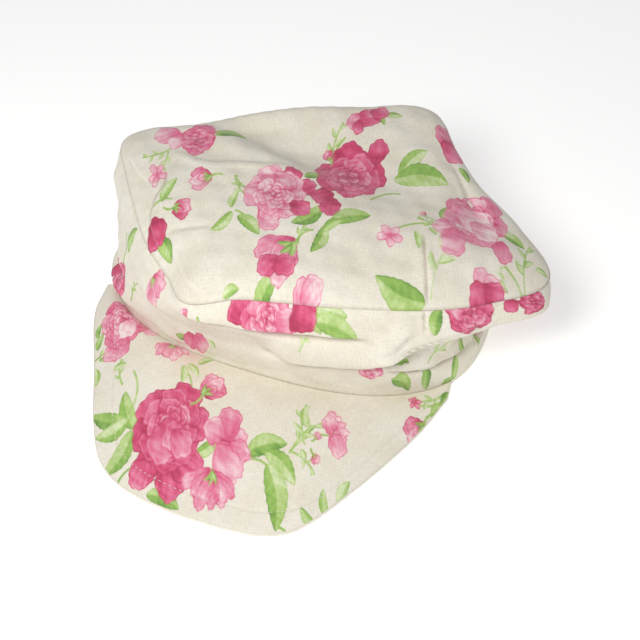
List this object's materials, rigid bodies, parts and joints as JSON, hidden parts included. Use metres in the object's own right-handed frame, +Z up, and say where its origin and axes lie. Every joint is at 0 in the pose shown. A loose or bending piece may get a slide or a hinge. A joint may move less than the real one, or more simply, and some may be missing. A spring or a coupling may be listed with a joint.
{
  "type": "soft cotton cap with a slouched crown and a deep peak",
  "caption": "Soft printed cotton cap lying on its hem: a wide flat tip slouched over a tall side wall, with a deep rounded trapezoid peak at the front.",
  "frame": {"origin": "on the table, under the middle of the whole cap's bounding box", "axes": "Z up from the table, the peak points to -Y, X runs across the cap to the wearer's left"},
  "size_m": [0.2604, 0.27, 0.0809],
  "materials": {
    "tip_cotton": "soft printed cotton",
    "side_cotton": "soft printed cotton",
    "peak_cotton": "soft printed cotton, two layers"
  },
  "bodies": {
    "root": {"crown_top": "tip_cotton", "crown_side": "side_cotton", "peak": "peak_cotton"}
  },
  "joints": []
}
